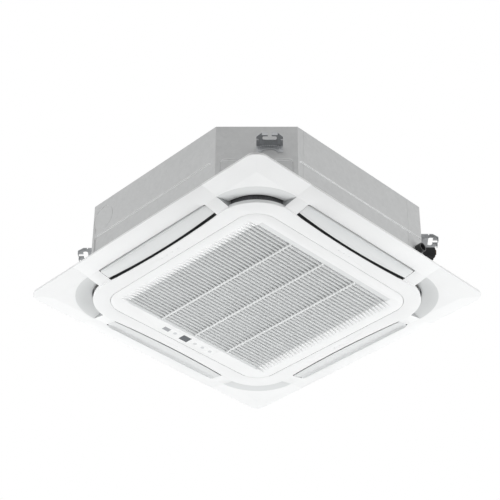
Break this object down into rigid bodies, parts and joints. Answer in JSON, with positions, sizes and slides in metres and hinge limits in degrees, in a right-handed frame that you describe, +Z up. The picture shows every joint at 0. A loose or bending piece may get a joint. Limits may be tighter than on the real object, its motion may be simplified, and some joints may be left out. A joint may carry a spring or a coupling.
{
  "type": "ceiling cassette air conditioner",
  "caption": "Square four-way ceiling cassette: white panel with bowed swinging flaps, corner outlets and a hinged slatted intake grille, under an octagonal sheet-metal body with rod brackets.",
  "frame": {"origin": "centre of the intake face, the lowest plane of the panel", "axes": "+Z up into the ceiling, +Y towards the side with the display, +X to the right"},
  "size_m": [0.95, 0.95, 0.2635],
  "materials": {
    "white_panel": "satin",
    "white_ring": "satin",
    "white_grille": "satin",
    "grey_flap": "satin",
    "dark_foam": "rough foam",
    "zinc_screws": "zinc plated",
    "zinc_steel": "zinc plated",
    "bush_plastic": "smooth",
    "filter_plastic": "smooth",
    "filter_cloth": "fine mesh",
    "dark_screen": "polished",
    "grey_lens": "polished",
    "pale_lens": "polished",
    "button_plastic": "satin",
    "circuit_board": "satin",
    "galvanised_sheet": "galvanised",
    "white_foam": "foamed beads",
    "fan_plastic": "smooth",
    "motor_paint": "satin",
    "black_rubber": "matte",
    "coil_aluminium": "finned",
    "coil_copper": "drawn",
    "pipe_copper": "drawn",
    "black_plastic": "smooth",
    "pump_plastic": "smooth",
    "dark_zinc": "dark zinc"
  },
  "bodies": {
    "unit": {"panel_frame": "white_panel", "inner_frame": "white_ring", "duct_lining": "dark_foam", "panel_seals": "dark_foam", "panel_screws": "zinc_screws", "flap_motors": "zinc_steel", "flap_bushes": "bush_plastic", "grille_snaps": "white_ring", "casing_left": "galvanised_sheet", "casing_right": "galvanised_sheet", "casing_front": "galvanised_sheet", "casing_back": "galvanised_sheet", "top_plate": "galvanised_sheet", "foam_liner": "white_foam", "drain_pan": "white_foam", "bell_mouth": "white_ring", "fan_motor": "motor_paint", "motor_mounts": "black_rubber", "coil_fins": "coil_aluminium", "coil_ends": "coil_copper", "gas_pipe": "pipe_copper", "liquid_pipe": "pipe_copper", "pipe_sleeves": "black_rubber", "piping_plate": "galvanised_sheet", "drain_socket": "black_plastic", "drain_pump": "pump_plastic", "float_guide": "pump_plastic", "control_box": "galvanised_sheet", "control_lid": "galvanised_sheet", "cable_gland": "black_plastic", "panel_hooks": "dark_zinc", "bracket_front_left": "dark_zinc", "bracket_front_right": "dark_zinc", "bracket_back_left": "dark_zinc", "bracket_back_right": "dark_zinc", "casing_screws": "zinc_screws"},
    "front_louvre": {"flap_front": "grey_flap"},
    "back_louvre": {"flap_back": "grey_flap"},
    "left_louvre": {"flap_left": "grey_flap"},
    "right_louvre": {"flap_right": "grey_flap"},
    "hinge_arms": {"grille_arms": "white_ring", "hinge_pins": "zinc_steel"},
    "grille": {"intake_grille": "white_grille", "display_window": "white_grille", "display_screen": "dark_screen", "receiver_lens": "grey_lens", "indicator_lenses": "pale_lens", "display_housing": "white_ring", "display_board": "circuit_board"},
    "filter": {"filter_frame": "filter_plastic", "filter_mesh": "filter_cloth"},
    "button": {"display_button": "button_plastic"},
    "fan": {"turbo_fan": "fan_plastic", "motor_shaft": "zinc_steel", "fan_nut": "zinc_screws"},
    "float": {"float_ring": "pump_plastic"},
    "cover_front_left": {"corner_cover_front_left": "white_panel"},
    "cover_front_right": {"corner_cover_front_right": "white_panel"},
    "cover_back_left": {"corner_cover_back_left": "white_panel"},
    "cover_back_right": {"corner_cover_back_right": "white_panel"}
  },
  "joints": [
    {"name": "right_louvre_swing", "type": "hinge", "parent": "unit", "child": "right_louvre", "pos_m": [0.384, 0, 0.019], "axis": [0, 1, 0], "range_deg": [0, 60]},
    {"name": "left_louvre_swing", "type": "hinge", "parent": "unit", "child": "left_louvre", "pos_m": [-0.384, 0, 0.019], "axis": [0, -1, 0], "range_deg": [0, 60]},
    {"name": "back_louvre_swing", "type": "hinge", "parent": "unit", "child": "back_louvre", "pos_m": [0, 0.384, 0.019], "axis": [-1, 0, 0], "range_deg": [0, 60]},
    {"name": "front_louvre_swing", "type": "hinge", "parent": "unit", "child": "front_louvre", "pos_m": [0, -0.384, 0.019], "axis": [1, 0, 0], "range_deg": [0, 60]},
    {"name": "grille_drop", "type": "slide", "parent": "unit", "child": "hinge_arms", "axis": [0, 0, -1], "range_m": [0, 0.0205]},
    {"name": "grille_hinge", "type": "hinge", "parent": "hinge_arms", "child": "grille", "pos_m": [0, 0.305, 0.006], "axis": [1, 0, 0], "range_deg": [0, 90]},
    {"name": "filter_lift", "type": "slide", "parent": "grille", "child": "filter", "axis": [0, 0, 1], "range_m": [0, 0.015]},
    {"name": "button_press", "type": "slide", "parent": "grille", "child": "button", "axis": [0, 0, 1], "range_m": [0, 0.0015], "stiffness_N_per_m": 300},
    {"name": "fan_spin", "type": "hinge", "parent": "unit", "child": "fan", "pos_m": [0, 0, 0.15], "axis": [0, 0, 1], "continuous": true},
    {"name": "float_rise", "type": "slide", "parent": "unit", "child": "float", "axis": [0, 0, 1], "range_m": [0, 0.012]},
    {"name": "cover_front_left_lift_off", "type": "slide", "parent": "unit", "child": "cover_front_left", "axis": [0, 0, -1], "range_m": [0, 0.08]},
    {"name": "cover_front_right_lift_off", "type": "slide", "parent": "unit", "child": "cover_front_right", "axis": [0, 0, -1], "range_m": [0, 0.08]},
    {"name": "cover_back_left_lift_off", "type": "slide", "parent": "unit", "child": "cover_back_left", "axis": [0, 0, -1], "range_m": [0, 0.08]},
    {"name": "cover_back_right_lift_off", "type": "slide", "parent": "unit", "child": "cover_back_right", "axis": [0, 0, -1], "range_m": [0, 0.08]}
  ],
  "couplings": [
    {"joint": "grille_drop", "follows": "grille_hinge", "m_per_rad": 0.01305}
  ]
}
